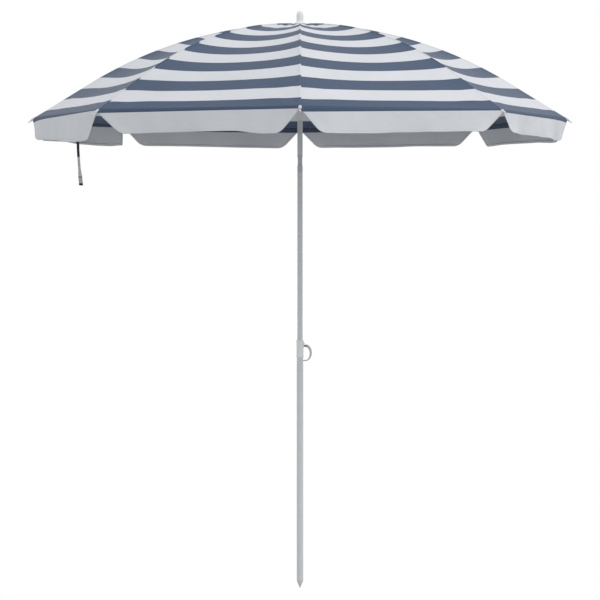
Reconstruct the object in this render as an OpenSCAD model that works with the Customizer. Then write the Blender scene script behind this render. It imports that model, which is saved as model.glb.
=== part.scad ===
// Beach umbrella: eight-rib canopy on a two-part pole that slides, locks with a pin and tilts.
// The origin is the tip of the ground spike, and +Z runs up the pole. Sizes are in millimetres.

/* [Canopy] */
// Radius from the pole's axis to a corner of the fabric
canopy_r = 1108; // [1050:1:1130]
// Height of the fabric where it meets the pole
apex_z = 2345; // [2340:1:2350]
// Radius of the bow of the upper part of the canopy
dome_r = 1665; // [1640:5:1700]
// Slope of the straight outer part of the canopy, in degrees
rim_slope = 31.5; // [29:0.5:33]
// Height of the hanging valance
valance_h = 91; // [60:1:100]
// Thickness of the fabric's solids
fabric_t = 1.2; // [0.8:0.1:1.5]

/* [Ribs] */
// Diameter of the round ribs and stretchers
rib_d = 4; // [3:0.1:4.2]
// Radius of the ribs' own bow
rib_bow_r = 1638; // [1630:1:1645]
// Radius from the pole's axis to the ribs' outer ends
rib_reach = 1129; // [1120:1:1145]
// Direction of the bow, from the vertical, where the stretcher is riveted on, in degrees
joint_deg = 19.5; // [18:0.5:21]

/* [Pole] */
// Outer diameter of the upper and middle tubes
tube_d = 22; // [21.5:0.1:22]
// Outer diameter of the lower tube
lower_d = 27; // [26.8:0.1:28]
// Height of the lower tube's top
lower_top_z = 1024; // [1015:1:1026]
// Height of the middle tube's lower end
mid_bottom_z = 560; // [540:5:600]
// Height of the tilt hinge's axis
tilt_z = 1775; // [1772:1:1777]

/* [Runner] */
// Height of the runner's pivot ring while the canopy is open
runner_z = 2000; // [1995:1:2005]

/* [Hidden] */
$fn = 48;
RIBS = 8;
STEP = 360 / RIBS;
HALF = STEP / 2;

// Pole, from outside to inside
tube_r = tube_d / 2;
tube_bore_r = tube_r - 1.1;
lower_r = lower_d / 2;
lower_bore_r = lower_r - 1.2;
plug_gap = 0.05;        // radial gap of a plug or pin pressed into a tube
slide_gap = 0.35;       // radial gap of a part that slides along a tube
neck_r = 10;            // neck of the tilt hinge
tongue_r = 9.5;         // round end of the tilt tongue
tongue_t = 8;           // thickness of the tilt tongue
hinge_pin_r = 3;
ferrule_r = tube_r + 0.1;
mid_top_z = 1731;
ferrule_top_z = 1757;
shoulder_z = tilt_z - neck_r - 0.3;
knuckle_top_z = 1803;
upper_bottom_z = 1805;
spike_top_z = 51;       // where the spike's cap meets the tube
spike_taper_z = 30;
pin_z = 1010;           // lock pin's axis
plain_top_z = 935;      // top of the plain full-size wall, below the pin's ring
collar_z = [962, 968, 1027, 1033];
collar_r = lower_r + 0.9;
neck_end_r = lower_r - 0.5; // the lower tube's top end, necked down inside the collar
hole_pitch = 110;       // spacing of the height holes
boss_x = 17.5;          // outer face of the collar's boss
ring_x = 24.6;          // the ring's pivot on the pin's head

// Fold pivots: the ribs swing on the notch's ring, the stretchers on the runner's ring
ring_r = 18;            // radius of both pivot rings
ring_wire_r = 1;
notch_z = apex_z - 8.5;
slot_w = 4.6;
rib_r = rib_d / 2;
outer_rib_r = rib_r - 0.15;  // the ribs' straight outer part is a little thinner
bow_x = 14;             // centre of the ribs' bow, from the pole's axis
bow_start = asin((ring_r - bow_x) / rib_bow_r);
bow_zc = notch_z - rib_bow_r * cos(bow_start);
bow_end = [bow_x + rib_bow_r * sin(rim_slope), bow_zc + rib_bow_r * cos(rim_slope)];
lug_drop = 8;           // from the rib's centreline to the stretcher's rivet
joint_x = bow_x + (rib_bow_r - lug_drop) * sin(joint_deg);
joint_z = bow_zc + (rib_bow_r - lug_drop) * cos(joint_deg);
stretch_l = norm([joint_x - ring_r, joint_z - runner_z]);
stretch_deg = atan2(joint_z - runner_z, joint_x - ring_r);
open_pivot_gap = 3.2;   // the stretchers stop this far short of the runner's ring

// Canopy surface: its height at radius r, measured over a rib
dome_end = dome_r * sin(rim_slope);
function dome_z(r) = r <= dome_end
    ? apex_z - dome_r + sqrt(dome_r * dome_r - r * r)
    : apex_z - dome_r * (1 - cos(rim_slope)) - (r - dome_end) * tan(rim_slope);
rim_z = dome_z(canopy_r);
rim_x = canopy_r * cos(HALF);
panel_x0 = 13.5;        // the panels' inner edge, under the finial
seam_gap = 0.25;        // half the gap between two panels
// A panel rises in straight lines across its width, so its height depends only on x
function panel_z(x) = dome_z(x / cos(HALF));
panel_steps = 22;
panel_line = [for (i = [0:panel_steps]) let (x = panel_x0 + (rim_x - panel_x0) * i / panel_steps)
    [x, panel_z(x)]];
hang_gap = 0.3;         // between a panel's edge and its valance
end_drop = 9;           // a valance's ends run straight down this far before they slant
corner_deg = 45;        // slant of a valance's ends
corner_r = 60;          // radius where a valance's end turns into its hem
strap_w = 25;
strap_y = 28;            // off the panel's middle, towards the side rib
strap_bottom_z = 1684;

module ring_of(n, start = 0) for (k = [0:n - 1]) rotate([0, 0, start + 360 * k / n]) children();
module tube(r_out, r_in, z0, z1) translate([0, 0, z0]) difference() {
    cylinder(r = r_out, h = z1 - z0, $fn = 96);
    translate([0, 0, -1]) cylinder(r = r_in, h = z1 - z0 + 2, $fn = 96);
}
module rod(r, z0, z1) translate([0, 0, z0]) cylinder(r = r, h = z1 - z0, $fn = 96);
module across_y(r, l) rotate([90, 0, 0]) cylinder(r = r, h = l, center = true);
module wire_ring(r, z) translate([0, 0, z])
    rotate_extrude($fn = 96) translate([ring_r, 0]) circle(r = r, $fn = 24);

// --- Lower pole ---
module lower_tube() color("gainsboro") difference() {
    union() {
        rod(lower_r, spike_top_z, plain_top_z);
        rod(lower_r - 0.3, plain_top_z - 1, collar_z[0] - 0.5);
        rod(neck_end_r, collar_z[0] - 1, lower_top_z);
    }
    rod(lower_bore_r, spike_top_z - 1, lower_top_z + 1);
    translate([lower_r, 0, pin_z]) rotate([0, 90, 0]) cylinder(r = 3.3, h = 8, center = true);
}
module ground_spike() color("whitesmoke") {
    rotate_extrude($fn = 96) polygon([[0, 0], [1.2, 0.6], [2.2, 2], [lower_r - 0.6, spike_taper_z - 1],
        [lower_r, spike_taper_z + 1.5], [lower_r, spike_top_z], [lower_bore_r - plug_gap, spike_top_z],
        [lower_bore_r - plug_gap, 88], [lower_bore_r - 2, 92], [0, 92]]);
}
module lock_collar() color("white") difference() {
    union() {
        rod(collar_r, collar_z[0], collar_z[3]);
        rod(collar_r + 0.8, collar_z[0], collar_z[1]);
        rod(collar_r + 0.8, collar_z[2], collar_z[3]);
        translate([0, 0, pin_z]) rotate([0, 90, 0]) cylinder(r = 7, h = boss_x);
        translate([0, 0, pin_z + 2]) rotate([90, 0, 0]) linear_extrude(9, center = true)
            polygon([[0, 14], [14, 14], [20.8, 7], [boss_x, 5.5], [boss_x, 0], [0, 0]]);
    }
    rod(neck_end_r, collar_z[0] - 1, lower_top_z);
    rod(tube_r + slide_gap, collar_z[0], collar_z[3] + 1);
    translate([8, 0, pin_z]) rotate([0, 90, 0]) cylinder(r = 3.3, h = 20);
}

// --- Lock pin, which pulls out along +X, and its ring ---
module lock_pin() color("dimgray") {
    translate([tube_r + slide_gap, 0, pin_z]) rotate([0, 90, 0])
        cylinder(r = 3.25, h = boss_x + 1 - tube_r - slide_gap);
    translate([boss_x + 0.3, 0, pin_z]) rotate([0, 90, 0]) cylinder(r = 5, h = 1.2);
    for (s = [-1, 1]) translate([boss_x + 1, s * 3.5 - 0.7, pin_z - 3.5]) cube([10, 1.4, 7]);
    translate([ring_x, 0, pin_z]) across_y(1.5, 8);
}
// A hooked finger ring: its eye turns on the pin's head, and its lower end rests by the tube
module pin_ring() {
    mid_x = 22;    out_z = 981.5;  in_z = 978;
    out_a = 27.5;  out_b = 35.3;   in_a = 18;   in_b = 27;
    end_x = lower_r + 0.3;
    color("lightgray") rotate([90, 0, 0]) difference() {
        union() {
            linear_extrude(4.8, center = true) polygon(concat(
                [for (a = [78:-6:-90]) [mid_x + out_a * cos(a), out_z + out_b * sin(a)]],
                [[end_x, out_z - out_b], [end_x, in_z - in_b]],
                [for (a = [-90:6:78]) [mid_x + in_a * cos(a), in_z + in_b * sin(a)]]));
            translate([ring_x, pin_z, 0]) cylinder(r = 5.2, h = 5.2, center = true);
        }
        translate([ring_x, pin_z, 0]) cylinder(r = 1.55, h = 8, center = true);
    }
}

// --- Middle pole ---
module mid_tube() color("gainsboro") difference() {
    tube(tube_r, tube_bore_r, mid_bottom_z, mid_top_z);
    // Crimp that holds the tilt socket
    translate([0, 0, mid_top_z - 17]) rotate_extrude($fn = 96) translate([tube_r + 0.6, 0])
        circle(r = 1.2, $fn = 24);
    for (k = [0:4]) translate([tube_r, 0, pin_z + hole_pitch * k])
        rotate([0, 90, 0]) cylinder(r = 3.4, h = 6, center = true);
}
module tube_guide() color("white") difference() {
    union() {
        rod(lower_bore_r - slide_gap, mid_bottom_z - 14, mid_bottom_z);
        rod(tube_bore_r - plug_gap, mid_bottom_z - 1, mid_bottom_z + 36);
    }
    rod(7, mid_bottom_z - 15, mid_bottom_z + 37);
}
module tilt_socket() color("silver") difference() {
    union() {
        rod(tube_bore_r - plug_gap, mid_top_z - 41, mid_top_z + 1);
        rod(ferrule_r, mid_top_z, ferrule_top_z);
        rod(neck_r, ferrule_top_z - 1, shoulder_z);
        intersection() {
            rod(tongue_r, shoulder_z - 1, tilt_z + tongue_r);
            union() {
                translate([-neck_r, -tongue_t / 2, shoulder_z - 1]) cube([2 * neck_r, tongue_t, tilt_z - shoulder_z + 1]);
                translate([0, 0, tilt_z]) across_y(tongue_r, tongue_t);
            }
        }
    }
    translate([0, 0, tilt_z]) across_y(hinge_pin_r + plug_gap, 30);
    translate([0, 6, (mid_top_z + ferrule_top_z) / 2]) rotate([-90, 0, 0]) cylinder(r = 4.1, h = 10);
}
module tilt_button() color("dimgray") translate([0, 8.5, (mid_top_z + ferrule_top_z) / 2])
    rotate([-90, 0, 0]) {
        cylinder(r = 3.9, h = 1.7);
        cylinder(r = 3.2, h = 2.4);
    }

// --- Canopy stick ---
module tilt_knuckle() color("silver") difference() {
    union() {
        rod(neck_r, tilt_z, knuckle_top_z - 7);
        intersection() {
            rod(neck_r, tilt_z - neck_r, tilt_z);
            translate([0, 0, tilt_z]) across_y(neck_r, 2 * neck_r);
        }
        rod(ferrule_r, knuckle_top_z - 7, knuckle_top_z);
        rod(neck_r + 0.3, knuckle_top_z, upper_bottom_z);
        rod(tube_bore_r - plug_gap, upper_bottom_z - 0.5, upper_bottom_z + 40);
    }
    translate([-15, -tongue_t / 2 - 0.3, tilt_z - 20]) cube([30, tongue_t + 0.6, 20 + tongue_r + 0.5]);
    translate([0, 0, tilt_z]) across_y(hinge_pin_r, 30);
}
module tilt_pin() color("dimgray") translate([0, 0, tilt_z]) across_y(hinge_pin_r, 2 * neck_r - 1.2);
module upper_tube() color("gainsboro") difference() {
    tube(tube_r, tube_bore_r, upper_bottom_z, apex_z - 4);
    translate([-2.6, 5, 1918]) cube([5.2, 10, 25]);
}
module top_notch() color("whitesmoke") difference() {
    tube(ring_r + 5, tube_r, notch_z - 8, apex_z - 2);
    wire_ring(ring_wire_r, notch_z);
    ring_of(RIBS) translate([13.4, -slot_w / 2, notch_z - 9]) cube([12, slot_w, 20]);
}
module notch_wire() color("silver") wire_ring(ring_wire_r, notch_z);
module finial() color("white") rotate_extrude($fn = 96) polygon(concat(
    [[0, 2325], [tube_bore_r - plug_gap - 1, 2325], [tube_bore_r - plug_gap, 2328],
     [tube_bore_r - plug_gap, apex_z + 0.4], [25.5, apex_z + 0.4], [25.9, apex_z + 2.4], [25.2, apex_z + 4.2]],
    [for (t = [0:0.2:1]) [25.2 - 10.9 * sin(90 * t), apex_z + 4.2 + 9.8 * (1 - cos(90 * t))]],
    [for (a = [0:9:90]) [14.2 * pow(cos(a), 0.8), 2377 + 23 * sin(a)]]));

// --- Runner ---
module runner() color("white") difference() {
    union() {
        rod(tube_r + 2.3, runner_z - 55, runner_z + 8);
        rod(tube_r + 2.9, runner_z - 55, runner_z - 51);
        translate([0, 0, runner_z - 18]) cylinder(r1 = tube_r + 2.3, r2 = ring_r + 3.5, h = 11, $fn = 96);
        rod(ring_r + 3.5, runner_z - 7, runner_z + 5);
    }
    rod(tube_r + slide_gap + 0.15, runner_z - 56, runner_z + 9);
    wire_ring(ring_wire_r, runner_z);
    ring_of(RIBS) translate([15, -slot_w / 2, runner_z - 20]) cube([12, slot_w, 30]);
}
module runner_wire() color("silver") wire_ring(ring_wire_r, runner_z);
module runner_catch() color("dimgray") rotate([90, 0, 0]) rotate([0, -90, 0])
    linear_extrude(4.2, center = true)
        polygon([[-4.5, 1921], [-11.2, 1938], [-11.3, 1940.5], [-4.5, 1940.5]]);

// --- Rib, in its own plane: the pole's axis is x = 0 and the rib runs along +X ---
module rib_wire(r) {
    translate([bow_x, 0, bow_zc]) rotate([90, 0, 0]) rotate([0, 0, 90 - rim_slope])
        rotate_extrude(angle = rim_slope - bow_start - 0.09, $fn = 360) translate([rib_bow_r, 0])
            circle(r = r, $fn = 24);
}
module along_rim(r, x0, x1) translate([x0, 0, bow_end[1] - (x0 - bow_end[0]) * tan(rim_slope)])
    rotate([0, 90 + rim_slope, 0]) cylinder(r = r, h = (x1 - x0) / cos(rim_slope), $fn = 24);
module rib() color("silver") difference() {
    union() {
        rib_wire(rib_r);
        along_rim(outer_rib_r, bow_end[0] - 6, canopy_r + 4);
        translate([ring_r, 0, notch_z]) across_y(3.2, 3.6);
        // Saddle and ears that hold the stretcher
        translate([joint_x, 0, joint_z]) rotate([0, joint_deg, 0]) {
            translate([-7, -3.1, lug_drop - 2]) cube([14, 6.2, 4.2]);
            for (s = [-1, 1]) translate([0, s * 2.5, 0]) {
                across_y(4, 1.2);
                translate([-4, -0.6, 0]) cube([8, 1.2, lug_drop]);
            }
            across_y(1.5, 6.6);
        }
    }
    translate([ring_r, 0, notch_z]) across_y(ring_wire_r + 0.25, 8);
}
module rib_tip() color("darkgray") difference() {
    union() {
        along_rim(rib_r + 0.8, canopy_r - 4, canopy_r + 10);
        along_rim(rib_r + 0.4, canopy_r + 9, rib_reach - 3);
        translate([rib_reach - 3, 0, bow_end[1] - (rib_reach - 3 - bow_end[0]) * tan(rim_slope)])
            sphere(r = rib_r + 1, $fn = 24);
    }
    along_rim(outer_rib_r + 0.02, canopy_r - 6, canopy_r + 4.1);
}
module stretcher() color("silver") translate([joint_x, 0, joint_z]) rotate([0, -90 - stretch_deg, 0])
    difference() {
        union() {
            across_y(3.4, 3.2);
            translate([-2.4, -1.6, 0]) cube([4.8, 3.2, 14]);
            rod(rib_r - 0.1, 12, stretch_l - open_pivot_gap);
        }
        across_y(1.55, 6);
    }

// --- Fabric, in a panel's own plane: the panel's middle runs along +X ---
module canopy_panel(light) color(light ? "lightsteelblue" : "steelblue") intersection() {
    rotate([90, 0, 0]) linear_extrude(2 * canopy_r, center = true) polygon(concat(panel_line,
        [for (i = [panel_steps:-1:0]) panel_line[i] - [0, fabric_t]]));
    linear_extrude(apex_z + 10) polygon([
        [panel_x0, -panel_x0 * tan(HALF) + seam_gap], [rim_x + 1, -(rim_x + 1) * tan(HALF) + seam_gap],
        [rim_x + 1, (rim_x + 1) * tan(HALF) - seam_gap], [panel_x0, panel_x0 * tan(HALF) - seam_gap]]);
}
module valance(light) {
    half_w = rim_x * tan(HALF) - 3.4;
    turn_x = half_w - (valance_h - end_drop) / tan(corner_deg) - corner_r * tan(corner_deg / 2);
    edge = [for (a = [0:corner_deg / 6:corner_deg])
        [turn_x + corner_r * sin(a), -valance_h + corner_r * (1 - cos(a))]];
    color(light ? "white" : "gainsboro") translate([rim_x + hang_gap, 0, rim_z])
        rotate([0, 0, 90]) rotate([90, 0, 0]) linear_extrude(fabric_t)
            polygon(concat([[-half_w, 0], [-half_w, -end_drop]],
                [for (i = [len(edge) - 1:-1:0]) [-edge[i][0], edge[i][1]]],
                edge, [[half_w, -end_drop], [half_w, 0]]));
}
module closing_strap() color("steelblue") rotate([0, 0, 3.5 * STEP])
    translate([rim_x - 3.5, strap_y - strap_w / 2, strap_bottom_z])
        cube([fabric_t, strap_w, rim_z - 3 - strap_bottom_z]);

lower_tube();
ground_spike();
lock_collar();
lock_pin();
pin_ring();
mid_tube();
tube_guide();
tilt_socket();
tilt_button();
tilt_knuckle();
tilt_pin();
upper_tube();
top_notch();
notch_wire();
finial();
runner();
runner_wire();
runner_catch();
closing_strap();
for (k = [1:RIBS]) {
    rib_az = STEP * (k - 1);
    rotate([0, 0, rib_az]) rib();
    rotate([0, 0, rib_az]) rib_tip();
    rotate([0, 0, rib_az]) stretcher();
    rotate([0, 0, rib_az + HALF]) canopy_panel(k % 2 == 0);
    rotate([0, 0, rib_az + HALF]) valance(k % 2 == 0);
}
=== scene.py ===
"""Looks of the beach umbrella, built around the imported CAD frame. All lengths are in metres."""

import math
import random

import bpy
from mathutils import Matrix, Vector, noise


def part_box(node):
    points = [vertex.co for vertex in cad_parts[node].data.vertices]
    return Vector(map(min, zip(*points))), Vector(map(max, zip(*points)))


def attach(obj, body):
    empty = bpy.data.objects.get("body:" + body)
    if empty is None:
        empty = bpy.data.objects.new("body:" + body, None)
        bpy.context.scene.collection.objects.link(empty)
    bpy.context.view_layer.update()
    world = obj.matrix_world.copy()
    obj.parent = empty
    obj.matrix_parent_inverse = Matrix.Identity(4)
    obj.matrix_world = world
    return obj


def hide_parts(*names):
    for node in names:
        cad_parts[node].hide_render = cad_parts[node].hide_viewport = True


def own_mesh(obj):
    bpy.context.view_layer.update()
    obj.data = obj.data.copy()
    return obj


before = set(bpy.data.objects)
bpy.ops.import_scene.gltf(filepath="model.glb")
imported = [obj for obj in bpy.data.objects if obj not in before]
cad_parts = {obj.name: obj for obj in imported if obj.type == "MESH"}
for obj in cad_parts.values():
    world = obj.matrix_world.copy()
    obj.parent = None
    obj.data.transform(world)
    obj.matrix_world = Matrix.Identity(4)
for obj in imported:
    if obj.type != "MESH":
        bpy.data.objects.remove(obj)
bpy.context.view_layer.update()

# --- Sizes, read from the frame where it holds them ---
RIBS = 8
STEP = 2 * math.pi / RIBS
HALF = STEP / 2
PANEL_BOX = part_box("canopy_panel_1")          # its first corner lies on +X
CANOPY_R = PANEL_BOX[1][0]
APEX_Z = PANEL_BOX[1][2]
RIM_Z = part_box("valance_1")[1][2]
VALANCE_H = RIM_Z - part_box("valance_1")[0][2]
DOME_R = 1.665                                # bow of the upper canopy, as in the CAD
RIM_SLOPE = math.radians(31.5)                # slope of its straight outer part
RIM_X = CANOPY_R * math.cos(HALF)
PANEL_X0 = 0.0135                             # the panels' inner edge, under the finial
CLOTH = 0.0006                                # cloth thickness


def dome_z(r):
    """Height of the canopy over a rib, at radius r."""
    end = DOME_R * math.sin(RIM_SLOPE)
    if r <= end:
        return APEX_Z - DOME_R + math.sqrt(DOME_R * DOME_R - r * r)
    return APEX_Z - DOME_R * (1 - math.cos(RIM_SLOPE)) - (r - end) * math.tan(RIM_SLOPE)


def dome_s(r):
    """Length along the rib from the pole's axis to radius r."""
    end = DOME_R * math.sin(RIM_SLOPE)
    if r <= end:
        return DOME_R * math.asin(r / DOME_R)
    return DOME_R * RIM_SLOPE + (r - end) / math.cos(RIM_SLOPE)


RIM_S = dome_s(CANOPY_R)


# --- Camera ---
LENS_MM, SENSOR_MM = 158.8, 36.0
CAMERA_AT = (0.0, -11.0, 1.515)               # 11 m in front, a little above mid-height
CAMERA_AIM = (0.0, 0.0, 1.2007)


def add_camera():
    data = bpy.data.cameras.new("camera")
    data.lens = LENS_MM
    data.sensor_width = SENSOR_MM
    cam = bpy.data.objects.new("camera", data)
    bpy.context.collection.objects.link(cam)
    cam.location = CAMERA_AT
    aim = Vector(CAMERA_AIM) - cam.location
    cam.rotation_euler = aim.to_track_quat("-Z", "Y").to_euler()
    bpy.context.scene.camera = cam


# --- Materials ---
def new_material(name):
    """A node material: it, its nodes, its links and its main shader."""
    mat = bpy.data.materials.new(name)
    mat.use_nodes = True
    nodes = mat.node_tree.nodes
    shader = nodes["Principled BSDF"]
    return mat, nodes, mat.node_tree.links, shader


def node(nodes, kind, **values):
    """A new node. in_3=1.0 sets its fourth input; any other name sets a property."""
    made = nodes.new(kind)
    for key, value in values.items():
        if key.startswith("in_"):
            made.inputs[int(key[3:])].default_value = value
        else:
            setattr(made, key, value)
    return made


def math_node(nodes, links, operation, a, b=None):
    """The output of a new math node, whose inputs are numbers or other nodes' outputs."""
    made = nodes.new("ShaderNodeMath")
    made.operation = operation
    for socket, value in zip(made.inputs, (a, b)):
        if value is None:
            continue
        if isinstance(value, (int, float)):
            socket.default_value = value
        else:
            links.new(value, socket)
    return made.outputs[0]


def mix_colour(nodes, links, factor, a, b):
    """Colour a where factor is 0, and b where it is 1."""
    made = nodes.new("ShaderNodeMix")
    made.data_type = "RGBA"
    for socket, value in ((made.inputs[0], factor), (made.inputs[6], a), (made.inputs[7], b)):
        if isinstance(value, (tuple, float, int)):
            socket.default_value = value
        else:
            links.new(value, socket)
    return made.outputs[2]


NAVY = (0.053, 0.086, 0.150, 1)
WHITE = (0.64, 0.66, 0.69, 1)
STRIPE_PERIOD = 0.1775
STRIPE_START = RIM_S - 7 * STRIPE_PERIOD      # a pair is white, then blue; the last ends at the rim's fold
STRIPE_BLUE = 0.49                            # the blue's share of a pair
FLAP_LAP = 0.007                              # the white flap covers this much of the last blue stripe
STITCH_IN, STITCH_HALF = 0.0085, 0.0004       # a stitch row's distance from the edge, and half its width
STITCH_LONG, STITCH_DUTY = 0.0035, 0.72
EDGE_SHADE_WIDTH = 0.0014                            # painted shade: a thin dark line along the cloth's edges, this wide
# the stitches' colour, also used for the painted shade line along the cloth's edges
STITCH_AND_EDGE_SHADE_COLOUR = (0.30, 0.32, 0.35, 1)
THREAD_U, THREAD_V = 0.00055, 0.00060         # spacing of the threads
STRIPE_WOBBLE = 0.0012                        # unevenness of the stripes' edges
THROUGH = 0.06                                # share of the light that comes through the cloth


def cloth_material():
    """Plain-weave polyester: stripes and threads from the cloth map, and stitching and a painted shade line
    along the cloth's edges from the edge map.
    """
    mat, nodes, links, shader = new_material("striped_cloth")
    uv = node(nodes, "ShaderNodeUVMap", uv_map="cloth")
    part = nodes.new("ShaderNodeSeparateXYZ")
    links.new(uv.outputs[0], part.inputs[0])
    u, v = part.outputs[0], part.outputs[1]

    jitter = node(nodes, "ShaderNodeTexNoise", noise_dimensions="3D", in_2=900.0, in_3=1.0)
    links.new(uv.outputs[0], jitter.inputs[0])
    centred = math_node(nodes, links, "SUBTRACT", jitter.outputs[0], 0.5)
    wobble = math_node(nodes, links, "MULTIPLY", centred, STRIPE_WOBBLE)
    along = math_node(nodes, links, "ADD", math_node(nodes, links, "SUBTRACT", v, STRIPE_START), wobble)
    phase = math_node(nodes, links, "FRACT", math_node(nodes, links, "DIVIDE", along, STRIPE_PERIOD))
    blue = math_node(nodes, links, "GREATER_THAN", phase, 1.0 - STRIPE_BLUE)
    on_canopy = math_node(nodes, links, "LESS_THAN", v, RIM_S - FLAP_LAP)
    blue = math_node(nodes, links, "MULTIPLY", blue, on_canopy)
    base = mix_colour(nodes, links, blue, WHITE, NAVY)

    # Faint unevenness of the dye and of handling, then thread-to-thread variation
    blotch = node(nodes, "ShaderNodeTexNoise", in_2=6.0, in_3=4.0)
    links.new(uv.outputs[0], blotch.inputs[0])
    shade = node(nodes, "ShaderNodeMapRange", in_3=0.93, in_4=1.05)
    links.new(blotch.outputs[0], shade.inputs[0])
    threads = []
    for axis, scale in ((u, 1 / THREAD_U), (v, 1 / THREAD_V)):
        wave = math_node(nodes, links, "SINE", math_node(nodes, links, "MULTIPLY", axis, scale * 2 * math.pi))
        threads.append(wave)
    weave = math_node(nodes, links, "MULTIPLY", threads[0], threads[1])
    weave_shade = math_node(nodes, links, "MULTIPLY_ADD", weave, 0.035)
    weave_shade.node.inputs[2].default_value = 1.0
    tone = math_node(nodes, links, "MULTIPLY", shade.outputs[0], weave_shade)
    tinted = nodes.new("ShaderNodeVectorMath")
    tinted.operation = "SCALE"
    links.new(base, tinted.inputs[0])
    links.new(tone, tinted.inputs[3])

    # Stitch rows and a painted shade line along the cloth's edges: the edge map holds distance along a seam
    # and distance from it
    edge = node(nodes, "ShaderNodeUVMap", uv_map="edge")
    edge_part = nodes.new("ShaderNodeSeparateXYZ")
    links.new(edge.outputs[0], edge_part.inputs[0])
    run, off = edge_part.outputs[0], edge_part.outputs[1]
    beside = math_node(nodes, links, "ABSOLUTE", math_node(nodes, links, "SUBTRACT", off, STITCH_IN))
    near = math_node(nodes, links, "LESS_THAN", beside, STITCH_HALF)
    place = math_node(nodes, links, "FRACT", math_node(nodes, links, "DIVIDE", run, STITCH_LONG))
    dash = math_node(nodes, links, "LESS_THAN", place, STITCH_DUTY)
    stitches_and_edge_shade = math_node(nodes, links, "MULTIPLY", near, dash)
    # Painted shade: a thin dark line along the cloth's edges, joined to the stitch rows' mask
    stitches_and_edge_shade = math_node(nodes, links, "MAXIMUM", stitches_and_edge_shade, math_node(nodes, links, "LESS_THAN", off, EDGE_SHADE_WIDTH))
    faint = math_node(nodes, links, "MULTIPLY", stitches_and_edge_shade, 0.6)
    colour = mix_colour(nodes, links, faint, tinted.outputs[0], STITCH_AND_EDGE_SHADE_COLOUR)
    links.new(colour, shader.inputs["Base Color"])

    height = math_node(nodes, links, "MULTIPLY_ADD", stitches_and_edge_shade, 0.6)
    links.new(weave, height.node.inputs[2])
    crinkle = node(nodes, "ShaderNodeTexNoise", in_2=38.0, in_3=5.0)
    links.new(uv.outputs[0], crinkle.inputs[0])
    fine = node(nodes, "ShaderNodeBump", in_0=0.25, in_1=0.0002)
    links.new(height, fine.inputs["Height"])
    broad = node(nodes, "ShaderNodeBump", in_0=0.35, in_1=0.004)
    links.new(crinkle.outputs[0], broad.inputs["Height"])
    links.new(fine.outputs[0], broad.inputs["Normal"])
    links.new(broad.outputs[0], shader.inputs["Normal"])
    shader.inputs["Roughness"].default_value = 0.7
    shader.inputs["Specular IOR Level"].default_value = 0.4
    shader.inputs["Sheen Weight"].default_value = 0.12
    shader.inputs["Sheen Roughness"].default_value = 0.4

    through = nodes.new("ShaderNodeBsdfTranslucent")
    links.new(colour, through.inputs[0])
    links.new(broad.outputs[0], through.inputs[1])
    both = node(nodes, "ShaderNodeMixShader", in_0=THROUGH)
    links.new(shader.outputs[0], both.inputs[1])
    links.new(through.outputs[0], both.inputs[2])
    links.new(both.outputs[0], nodes["Material Output"].inputs[0])
    return mat


def solid_material(name, colour, roughness, metallic=0.0, grain=400.0, bump=0.0002, wear=0.06, coat=0.0):
    """Moulded plastic or coated metal: slight mottling of its colour and gloss, and fine surface grain."""
    mat, nodes, links, shader = new_material(name)
    place = nodes.new("ShaderNodeTexCoord").outputs["Object"]
    mottle = node(nodes, "ShaderNodeTexNoise", in_2=45.0, in_3=5.0)
    links.new(place, mottle.inputs[0])
    ramp = node(nodes, "ShaderNodeMapRange", in_3=1.0 - wear, in_4=1.0 + wear)
    links.new(mottle.outputs[0], ramp.inputs[0])
    scaled = nodes.new("ShaderNodeVectorMath")
    scaled.operation = "SCALE"
    scaled.inputs[0].default_value = colour
    links.new(ramp.outputs[0], scaled.inputs[3])
    links.new(scaled.outputs[0], shader.inputs["Base Color"])
    rough = node(nodes, "ShaderNodeMapRange", in_3=roughness - 0.07, in_4=roughness + 0.07)
    links.new(mottle.outputs[0], rough.inputs[0])
    links.new(rough.outputs[0], shader.inputs["Roughness"])
    fine = node(nodes, "ShaderNodeTexNoise", in_2=grain, in_3=3.0)
    links.new(place, fine.inputs[0])
    relief = node(nodes, "ShaderNodeBump", in_0=0.3, in_1=bump)
    links.new(fine.outputs[0], relief.inputs["Height"])
    links.new(relief.outputs[0], shader.inputs["Normal"])
    shader.inputs["Metallic"].default_value = metallic
    shader.inputs["Coat Weight"].default_value = coat
    shader.inputs["Coat Roughness"].default_value = 0.25
    return mat


# The strap's colours from its upper end down: navy, then white, a dark line, the patch, and a dark end
STRAP_COLOURS = ((0.0, (0.016, 0.020, 0.034, 1)), (0.545, (0.70, 0.71, 0.73, 1)),
                 (0.856, (0.05, 0.055, 0.07, 1)), (0.868, (0.62, 0.63, 0.65, 1)),
                 (0.962, (0.012, 0.013, 0.018, 1)))


def strap_material():
    """Woven tape, coloured along its length."""
    mat, nodes, links, shader = new_material("strap_tape")
    uv = node(nodes, "ShaderNodeUVMap", uv_map="cloth")
    part = nodes.new("ShaderNodeSeparateXYZ")
    links.new(uv.outputs[0], part.inputs[0])
    v = part.outputs[1]
    ramp = nodes.new("ShaderNodeValToRGB")
    ramp.color_ramp.interpolation = "CONSTANT"
    while len(ramp.color_ramp.elements) < len(STRAP_COLOURS):
        ramp.color_ramp.elements.new(0.5)
    for element, (at, colour) in zip(ramp.color_ramp.elements, STRAP_COLOURS):
        element.position = at
        element.color = colour
    links.new(v, ramp.inputs[0])
    weave = node(nodes, "ShaderNodeTexNoise", in_2=260.0, in_3=2.0)
    links.new(uv.outputs[0], weave.inputs[0])
    relief = node(nodes, "ShaderNodeBump", in_0=0.5, in_1=0.0006)
    links.new(weave.outputs[0], relief.inputs["Height"])
    links.new(relief.outputs[0], shader.inputs["Normal"])
    links.new(ramp.outputs[0], shader.inputs["Base Color"])
    shader.inputs["Roughness"].default_value = 0.85
    return mat


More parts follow.
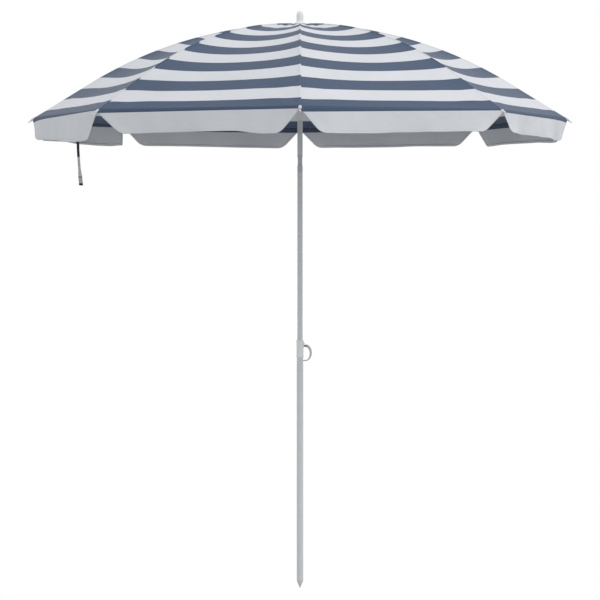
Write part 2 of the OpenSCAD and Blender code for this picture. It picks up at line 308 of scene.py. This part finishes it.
# --- Mesh helpers ---
def grid_piece(name, rows, cloth_uv, edge_uv, material, thickness, offset=-1.0):
    """A sheet from rows of points; both UV maps are given per point, and solidify gives it thickness."""
    mesh = bpy.data.meshes.new(name)
    n_rows, n_cols = len(rows), len(rows[0])
    points = [p for row in rows for p in row]
    faces = []
    for i in range(n_rows - 1):
        for j in range(n_cols - 1):
            a = i * n_cols + j
            faces.append((a, a + n_cols, a + n_cols + 1, a + 1))
    mesh.from_pydata(points, [], faces)
    for layer_name, values in (("cloth", cloth_uv), ("edge", edge_uv)):
        flat = [value for row in values for value in row]
        layer = mesh.uv_layers.new(name=layer_name)
        for loop in mesh.loops:
            layer.data[loop.index].uv = flat[loop.vertex_index]
    mesh.polygons.foreach_set("use_smooth", [True] * len(mesh.polygons))
    piece = bpy.data.objects.new(name, mesh)
    bpy.context.collection.objects.link(piece)
    mesh.materials.append(material)
    solid = piece.modifiers.new("thickness", "SOLIDIFY")
    solid.thickness = thickness
    solid.offset = offset
    apply_modifiers(piece)
    return piece


def apply_modifiers(piece):
    """Turn a piece's modifiers into plain mesh."""
    bpy.context.view_layer.update()
    made = bpy.data.meshes.new_from_object(piece.evaluated_get(bpy.context.evaluated_depsgraph_get()))
    piece.modifiers.clear()
    piece.data = made


def turned(point, azimuth):
    """A point given in a plane at azimuth 0, turned about the pole's axis."""
    c, s = math.cos(azimuth), math.sin(azimuth)
    return (point[0] * c - point[1] * s, point[0] * s + point[1] * c, point[2])


# --- Canopy cloth ---
SAG = 0.025                                   # of the cloth between two ribs
RIB_ROUND = 0.009                             # the cloth starts to round over a rib this far from it
ROWS, COLS = 72, 48
# The cloth was cut a little unevenly. How far out each panel's stripes are shifted, in mm: at its middle, how
# much more at its left end as seen from the pole (and less at the other), and 1 if that stays up to the crown
CUT = {1: (26, 4, 1), 2: (29, -2, 0), 3: (30, 2, 0), 4: (24, 8, 1), 5: (11, -5, 1), 6: (15, -2, 0),
       7: (16, -9, 0), 8: (16, 2, 1)}
PULL = {(5, -1): 12, (8, 1): 9}               # more shift, in mm, where a panel is pulled at one of its ribs


def cut_shift(k, across, x):
    """Shift of panel k's stripes along the rib."""
    base, skew, stays = CUT[k]
    wide = x * math.tan(HALF)
    share = across / wide if stays else across / (RIM_X * math.tan(HALF))
    near = abs(across) / wide
    return 0.001 * (base + skew * share + PULL.get((k, 1 if across > 0 else -1), 0) * near ** 7)


def spread(j, count):
    """Position from -1 to 1 of column j, with the columns closer together at both ends."""
    return math.sin(0.5 * math.pi * (-1 + 2 * j / count))


def panel_point(x, t, k):
    """A point of panel k in its own plane: x outward along its middle, t from -1 to 1 across."""
    r = x / math.cos(HALF)
    share = min(r / CANOPY_R, 1.0)
    half = x * math.tan(HALF)
    across = half * t
    inner = 1 - t * t
    sag = SAG * math.sin(math.pi * share ** 1.1) * inner ** 0.8
    soft = noise.noise(Vector((x * 5.0, across * 3.0, 7.3 * k)))
    soft *= 0.0035 * inner * math.sin(math.pi * share) ** 0.5
    # Creases that run out of the crown, and short ones that run in from the two corners
    crown = 0.0022 * math.exp(-((share - 0.10) / 0.11) ** 2) * math.sin(9.5 * t + 2.1 * k) * inner
    corner = 0.0
    for side in (-1, 1):
        dx, dy = RIM_X - x, RIM_X * math.tan(HALF) * side - across
        reach = math.hypot(dx, dy)
        angle = math.atan2(abs(dy), max(dx, 1e-6))
        corner += (0.0028 * math.exp(-((reach - 0.13) / 0.12) ** 2) * min(1.0, dx / 0.04)
                   * math.sin(10 * angle + 1.3 * k + side) * inner)
    # The cloth rounds over the rib
    to_rib = half * (1 - abs(t))
    rounding = 0.30 * share * max(0.0, RIB_ROUND - to_rib) ** 2 / (2 * RIB_ROUND)
    return (x, across, dome_z(r) - sag + soft + crown + corner - rounding)


def panel(k, material):
    """One sewn gore of the canopy, from the crown to the rim."""
    azimuth = STEP * (k - 1) + HALF
    rows, cloth, edge = [], [], []
    for i in range(ROWS + 1):
        x = PANEL_X0 + (RIM_X - PANEL_X0) * i / ROWS
        s = dome_s(x / math.cos(HALF))
        row, row_cloth, row_edge = [], [], []
        for j in range(COLS + 1):
            t = spread(j, COLS)
            point = panel_point(x, t, k)
            row.append(turned(point, azimuth))
            row_cloth.append((point[1] + k, s - cut_shift(k, point[1], x)))
            row_edge.append((s, 1.0))
        rows.append(row)
        cloth.append(row_cloth)
        edge.append(row_edge)
    piece = grid_piece(f"canopy_gore_{k}", rows, cloth, edge, material, CLOTH)
    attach(piece, f"panel_{k}")
    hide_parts(f"canopy_panel_{k}")
    gather(piece)


def gather(piece):
    """Give the piece a mesh of its own."""
    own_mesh(piece)


# A flap's ends run straight down, slant inwards, and round into its lower edge
END_DROP = 0.009
CORNER = math.radians(45)
CORNER_R = 0.060
CORNER_RS = {(1, 1): 0.028}                   # ends (flap, side) that are rounded more tightly
END_TRIM = {(6, -1): 0.021, (5, 1): 0.018}    # and ends that are cut back towards the lower edge
SQUARE_END = (4, -1)                          # and the one that is square, and curls
SQUARE_IN, SQUARE_ROUND = 0.012, 0.005
HEM = 0.010
HEM_CLOTH = 0.0004
FLAP_HALF = RIM_X * math.tan(HALF) - 0.001
# The cloth stretches and curls a little: how much lower than its cut each flap's edge hangs, in mm, at seven
# places from end to end
EDGE_HANG = {1: (3, 5, 1, 1, 1, 5, 3), 2: (0, -1, -2, 1, 1, -1, 0), 3: (0, 1, 1, -1, -2, -2, -3),
             4: (-3, 4, 5, 4, -3, -3, -3), 5: (-6, 1, 7, 16, 23, 21, 4), 6: (1, 0, -2, -4, -5, 7, 9),
             7: (4, 6, 5, -1, -5, -9, -5), 8: (-6, -8, -6, -5, -2, 3, -2)}
RUMPLE = {8: 2.2, 5: 1.4, 4: 1.3}             # flaps that are more rumpled than the rest, and how much


def smooth_list(values, share):
    """Value at share, from 0 to 1, of a list of evenly spaced values."""
    at = share * (len(values) - 1)
    i = min(int(at), len(values) - 2)
    f = at - i
    f = f * f * (3 - 2 * f)
    return values[i] * (1 - f) + values[i + 1] * f


def flap_end(b, k, side):
    """Half the width of flap k at depth b below the rim, on one side."""
    end = (k, -1 if side < 0 else 1)
    if end == SQUARE_END:
        return FLAP_HALF - SQUARE_IN - SQUARE_ROUND * max(0.0, (b / VALANCE_H - 0.93) / 0.07) ** 2
    radius = CORNER_RS.get(end, CORNER_R)
    trim = END_TRIM.get(end, 0.0) * (b / VALANCE_H)
    turn = FLAP_HALF - (VALANCE_H - END_DROP) / math.tan(CORNER) - radius * math.tan(CORNER / 2)
    arc_top = VALANCE_H - radius * (1 - math.cos(CORNER))
    if b <= arc_top:
        return FLAP_HALF - max(0.0, b - END_DROP) / math.tan(CORNER) - trim
    rise = (VALANCE_H - b) / radius
    return turn + radius * math.sqrt(max(0.0, 1 - (1 - rise) ** 2)) - trim


def flap_point(k, b, t, waves, inward=0.0):
    """A point of flap k: b below the rim's fold, t from -1 to 1 between its ends."""
    half = flap_end(b, k, t)
    across = half * t
    depth = b / VALANCE_H
    swell = RUMPLE.get(k, 1.0)
    ripple = swell * (0.0040 * math.sin(13 * across + waves[0]) + 0.0024 * math.sin(29 * across + waves[1])
                      + 0.0010 * math.sin(61 * across + waves[2])) * depth ** 1.2
    crease = swell * 0.0012 * noise.noise(Vector((across * 22, b * 18, 3.1 * k))) * depth ** 0.7
    curl = 0.006 * depth ** 2 * abs(t) ** 8
    if (k, -1 if t < 0 else 1) == SQUARE_END:
        curl -= 0.008 * depth * max(0.0, -t - 0.93) / 0.07
    drop = 0.001 * smooth_list(EDGE_HANG[k], 0.5 + 0.5 * across / FLAP_HALF) * depth ** 1.5
    return (RIM_X + 0.0006 + ripple + crease + curl - inward, across, RIM_Z - b - drop)


def valance(k, material):
    """The flap that hangs from panel k's rim, with its hem turned up inside."""
    azimuth = STEP * (k - 1) + HALF
    waves = [random.uniform(0, 2 * math.pi) for _ in range(3)]
    n_down, n_across = 30, 110
    rows, cloth, edge = [], [], []
    for i in range(n_down + 1):
        b = VALANCE_H * math.sin(0.5 * math.pi * i / n_down) if i < n_down else VALANCE_H
        row, row_cloth, row_edge = [], [], []
        for j in range(n_across + 1):
            t = -1 + 2 * j / n_across
            point = flap_point(k, b, t, waves)
            across = point[1]
            ends = (flap_end(b, k, t) - abs(across)) * math.sin(CORNER)
            row.append(turned(point, azimuth))
            row_cloth.append((across + k, RIM_S + b - cut_shift(k, across, RIM_X)))
            row_edge.append((across + b, min(VALANCE_H - b, ends)))
        rows.append(row)
        cloth.append(row_cloth)
        edge.append(row_edge)
    piece = grid_piece(f"valance_flap_{k}", rows, cloth, edge, material, CLOTH)
    hem = flap_hem(k, waves, azimuth, material)
    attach(piece, f"valance_{k}")
    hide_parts(f"valance_{k}")
    gather(piece)
    gather(hem)


def flap_hem(k, waves, azimuth, material):
    """The turned-up edge of flap k: a narrow band inside its ends and its lower edge."""
    outline = []
    for i in range(1, 25):
        outline.append((VALANCE_H * (i / 25), -1.0))
    for j in range(91):
        outline.append((VALANCE_H, -1 + 2 * j / 90))
    for i in range(24, 0, -1):
        outline.append((VALANCE_H * (i / 25), 1.0))
    rows, cloth, edge = [], [], []
    for n in range(4):
        step = HEM * n / 3
        row, row_cloth, row_edge = [], [], []
        for b, t in outline:
            if abs(t) == 1.0 and b < VALANCE_H:
                half = flap_end(b, k, t)
                inner = max(0.0, half - step / math.sin(CORNER))
                tt, bb = t * inner / half, b
            else:
                bb = VALANCE_H - step
                reach = flap_end(VALANCE_H, k, t) / flap_end(bb, k, t)
                tt = t * reach
            point = flap_point(k, bb, tt, waves, inward=0.0010 if n else 0.0007)
            row.append(turned(point, azimuth))
            row_cloth.append((point[1] + k, RIM_S + bb - cut_shift(k, point[1], RIM_X)))
            row_edge.append((point[1] + bb, step))
        rows.append(row)
        cloth.append(row_cloth)
        edge.append(row_edge)
    hem = grid_piece(f"hem_{k}", rows, cloth, edge, material, HEM_CLOTH)
    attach(hem, f"valance_{k}")
    return hem


SEAM_HALF, SEAM_START = 0.0045, 0.028
SEAM_CLOTH, SEAM_LIFT = 0.0005, 0.0012


def seam(k, material):
    """The felled seam over rib k, which joins two panels: the allowance lies towards panel k."""
    azimuth = STEP * (k - 1)
    left = k - 1 if k > 1 else RIBS
    rows, cloth, edge = [], [], []
    n_along = 90
    for i in range(n_along + 1):
        r = SEAM_START + (CANOPY_R + 0.001 - SEAM_START) * i / n_along
        row, row_cloth, row_edge = [], [], []
        for j in range(7):
            l = SEAM_HALF * (-1 + 2 * j / 6)
            x = min(r * math.cos(HALF) + abs(l) * math.sin(HALF), RIM_X)
            half = x * math.tan(HALF)
            base = panel_point(x, 1 - abs(l) / half, k)[2]
            lift = 0.0003 if j in (0, 6) else SEAM_LIFT
            row.append(turned((r, l, base + lift), azimuth))
            s = dome_s(x / math.cos(HALF))
            row_cloth.append((l + left, s - cut_shift(left, half, x)))
            row_edge.append((r, 0.002 if j in (1, 5) else 0.02))
        rows.append(row)
        cloth.append(row_cloth)
        edge.append(row_edge)
    piece = grid_piece(f"seam_{k}", rows, cloth, edge, material, SEAM_CLOTH)
    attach(piece, f"rib_{k}")


BAND_START, BAND_END, BAND_HALF = 0.030, 0.72, 0.021
BAND_BELOW, BAND_CLOTH = 0.0009, 0.0004


def seam_band(k, material):
    """The reinforcing band under the seam of rib k: it closes the gap beside the rib as the canopy closes."""
    azimuth = STEP * (k - 1)
    left = k - 1 if k > 1 else RIBS
    rows, cloth, edge = [], [], []
    n_along = 70
    for i in range(n_along + 1):
        r = BAND_START + (BAND_END - BAND_START) * i / n_along
        wide = min(BAND_HALF, 0.34 * r)
        row, row_cloth, row_edge = [], [], []
        for j in range(9):
            l = wide * (-1 + 2 * j / 8)
            panel_k, side = (k, -1) if l > 0 else (left, 1)
            x = r * math.cos(HALF) + abs(l) * math.sin(HALF)
            half = x * math.tan(HALF)
            t = side * (1 - abs(l) / math.cos(HALF) / half)
            row.append(turned((r, l, panel_point(x, t, panel_k)[2] - BAND_BELOW), azimuth))
            row_cloth.append((l + panel_k, dome_s(x / math.cos(HALF)) - cut_shift(panel_k, half * t, x)))
            row_edge.append((r, wide - abs(l)))
        rows.append(row)
        cloth.append(row_cloth)
        edge.append(row_edge)
    piece = grid_piece(f"seam_band_{k}", rows, cloth, edge, material, BAND_CLOTH)
    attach(piece, f"rib_{k}")


POCKET_CLOTH = 0.0005


def tip_pocket(k, material):
    """The sewn cap of plain cloth that holds rib k's end: a flattened cone, open at its inner end."""
    azimuth = STEP * (k - 1)
    rows, cloth, edge = [], [], []
    n_along, n_round = 14, 25
    length, below = 0.017, 0.0035             # the cap's middle lies this far below the cloth's surface
    for i in range(n_along + 1):
        share = i / n_along
        r = CANOPY_R - 0.006 + length * share
        base = dome_z(min(r, CANOPY_R)) - max(0.0, r - CANOPY_R) * math.tan(RIM_SLOPE)
        width = 0.0030 * (1 - share ** 1.6) + 0.0034
        tall = 0.0012 * (1 - share ** 2) + 0.0034
        row, row_cloth, row_edge = [], [], []
        for j in range(n_round):
            turn = 2 * math.pi * j / (n_round - 1)
            l = width * math.cos(turn)
            lift = tall * math.sin(turn) + 0.0008
            if lift < 0:
                lift *= 0.35
            pucker = 0.0004 * math.sin(5 * turn + 9 * share + k)
            out = (lift - below) * math.sin(RIM_SLOPE)
            row.append(turned((r + out, l, base - below + lift + pucker), azimuth))
            row_cloth.append((l + k, RIM_S + 0.030 + 0.01 * share))
            row_edge.append((l, length * (1 - share) + 0.002))
        rows.append(row)
        cloth.append(row_cloth)
        edge.append(row_edge)
    piece = grid_piece(f"tip_pocket_{k}", rows, cloth, edge, material, POCKET_CLOTH)
    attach(piece, f"rib_{k}")


STRAP_HALF, STRAP_CLOTH = 0.0125, 0.0012


def strap(material):
    """The closing strap, sewn inside the left-back rim: it turns and drifts a little as it hangs."""
    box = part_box("closing_strap")
    azimuth = 3.5 * STEP
    middle = [sum(c) / 2 for c in zip(*box)]
    beside = -middle[0] * math.sin(azimuth) + middle[1] * math.cos(azimuth)
    top, bottom = box[1][2], box[0][2] - 0.002      # it hangs 2 mm lower than the CAD solid
    length = top - bottom
    rows, cloth, edge = [], [], []
    n_down = 60
    for i in range(n_down + 1):
        share = i / n_down
        flat_end = min(1.0, max(0.0, (share - 0.72) / 0.16))
        turn = 0.29 * flat_end ** 2 * (3 - 2 * flat_end) - 0.06 * min(1.0, 2 * share)
        drift = 0.012 * share ** 2
        inward = 0.009 * max(0.0, share - 0.4) ** 1.3 / 0.51
        row, row_cloth, row_edge = [], [], []
        for j in range(9):
            l = STRAP_HALF * (-1 + 2 * j / 8)
            out, along = l * math.sin(turn) - inward, l * math.cos(turn) - drift
            row.append(turned((RIM_X - 0.004 + out, beside + along, top - length * share), azimuth))
            row_cloth.append((l, share))
            row_edge.append((share * length, STRAP_HALF - abs(l)))
        rows.append(row)
        cloth.append(row_cloth)
        edge.append(row_edge)
    piece = grid_piece("closing_strap_tape", rows, cloth, edge, material, STRAP_CLOTH, offset=0.0)
    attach(piece, "valance_4")
    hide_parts("closing_strap")


# --- Carried-over CAD nodes ---
def set_material(names, material):
    """Give CAD nodes a material."""
    for name in names:
        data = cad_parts[name].data
        data.materials.clear()
        data.materials.append(material)


def cad_materials():
    """The materials of every CAD node that stays in view."""
    steel = solid_material("powder_coat", (0.60, 0.62, 0.63), 0.38, grain=900.0, bump=0.00015, wear=0.03,
                           coat=0.15)
    white = solid_material("white_plastic", (0.74, 0.75, 0.76), 0.45, grain=500.0, wear=0.02)
    spike = solid_material("spike_plastic", (0.62, 0.64, 0.65), 0.5, grain=350.0, wear=0.06)
    grey = solid_material("grey_plastic", (0.52, 0.53, 0.54), 0.42, grain=500.0, wear=0.04)
    dark = solid_material("dark_metal", (0.16, 0.16, 0.17), 0.4, metallic=0.8, wear=0.1)
    zinc = solid_material("zinc_casting", (0.50, 0.52, 0.53), 0.42, metallic=0.2, grain=600.0, wear=0.05)
    wire = solid_material("wire_steel", (0.45, 0.46, 0.47), 0.35, metallic=0.9, wear=0.08)
    rib = solid_material("rib_coating", (0.42, 0.43, 0.44), 0.42, metallic=0.3, wear=0.08)
    tip = solid_material("tip_plastic", (0.66, 0.67, 0.69), 0.4, grain=500.0, wear=0.02)
    set_material(["lower_tube", "mid_tube", "upper_tube", "tilt_pin"], steel)
    set_material(["lock_collar", "tube_guide", "finial", "runner", "top_notch"], white)
    set_material(["ground_spike"], spike)
    set_material(["pin_ring"], grey)
    set_material(["lock_pin", "tilt_button", "runner_catch"], dark)
    set_material(["tilt_socket", "tilt_knuckle"], zinc)
    set_material(["notch_wire", "runner_wire"], wire)
    for k in range(1, RIBS + 1):
        set_material([f"rib_{k}", f"stretcher_{k}"], rib)
        set_material([f"rib_tip_{k}"], tip)


# --- Stage ---
FLOOR_TONE = 0.54
SKY_LOW, SKY_TOP, SKY_SIDE = 0.94, 1.00, 0.06
SKY_TINT = (0.985, 0.99, 1.0, 1)
KEY_POWER, KEY_SIZE = 270, 4.0
KEY_AT, KEY_AIM = (6.2, -4.4, 9.2), (0, 0, 2.0)
PAPER = (1, 1, 1, 1)                          # the floor and the sky look plain white to the camera


def add_stage():
    """A pale floor, a soft sky, and one large soft lamp at the upper right."""
    bpy.ops.mesh.primitive_plane_add(size=60, location=(0, 0, 0))
    floor = bpy.context.object
    floor.name = "floor"
    mat, nodes, links, shader = new_material("pale_floor")
    shader.inputs["Base Color"].default_value = (FLOOR_TONE, FLOOR_TONE, FLOOR_TONE, 1)
    shader.inputs["Roughness"].default_value = 0.9
    seen = nodes.new("ShaderNodeLightPath")
    paper = node(nodes, "ShaderNodeEmission", in_0=PAPER, in_1=1.0)
    both = nodes.new("ShaderNodeMixShader")
    links.new(seen.outputs["Is Camera Ray"], both.inputs[0])
    links.new(shader.outputs[0], both.inputs[1])
    links.new(paper.outputs[0], both.inputs[2])
    links.new(both.outputs[0], nodes["Material Output"].inputs[0])
    floor.data.materials.append(mat)

    world = bpy.data.worlds.new("studio")
    bpy.context.scene.world = world
    world.use_nodes = True
    nodes, links = world.node_tree.nodes, world.node_tree.links
    place = nodes.new("ShaderNodeTexCoord")
    part = nodes.new("ShaderNodeSeparateXYZ")
    links.new(place.outputs["Generated"], part.inputs[0])
    up = math_node(nodes, links, "MAXIMUM", part.outputs[2], 0.0)
    side = math_node(nodes, links, "MULTIPLY", part.outputs[0], SKY_SIDE)
    glow = math_node(nodes, links, "MULTIPLY_ADD", up, SKY_TOP - SKY_LOW)
    glow.node.inputs[2].default_value = SKY_LOW
    glow = math_node(nodes, links, "ADD", glow, side)
    seen = nodes.new("ShaderNodeLightPath")
    paper = node(nodes, "ShaderNodeBackground", in_0=PAPER, in_1=1.0)
    sky = nodes["Background"]
    sky.inputs[0].default_value = SKY_TINT
    links.new(glow, sky.inputs[1])
    both = nodes.new("ShaderNodeMixShader")
    links.new(seen.outputs["Is Camera Ray"], both.inputs[0])
    links.new(sky.outputs[0], both.inputs[1])
    links.new(paper.outputs[0], both.inputs[2])
    links.new(both.outputs[0], nodes["World Output"].inputs[0])

    data = bpy.data.lights.new("key", "AREA")
    data.size = KEY_SIZE
    data.energy = KEY_POWER
    lamp = bpy.data.objects.new("key", data)
    bpy.context.collection.objects.link(lamp)
    lamp.location = KEY_AT
    lamp.rotation_euler = (Vector(KEY_AIM) - lamp.location).to_track_quat("-Z", "Y").to_euler()


random.seed(11)
add_camera()
cad_materials()
cloth = cloth_material()
for k in range(1, RIBS + 1):
    panel(k, cloth)
    valance(k, cloth)
    seam(k, cloth)
    seam_band(k, cloth)
    tip_pocket(k, cloth)
strap(strap_material())
add_stage()
bpy.context.scene.view_settings.view_transform = "Standard"
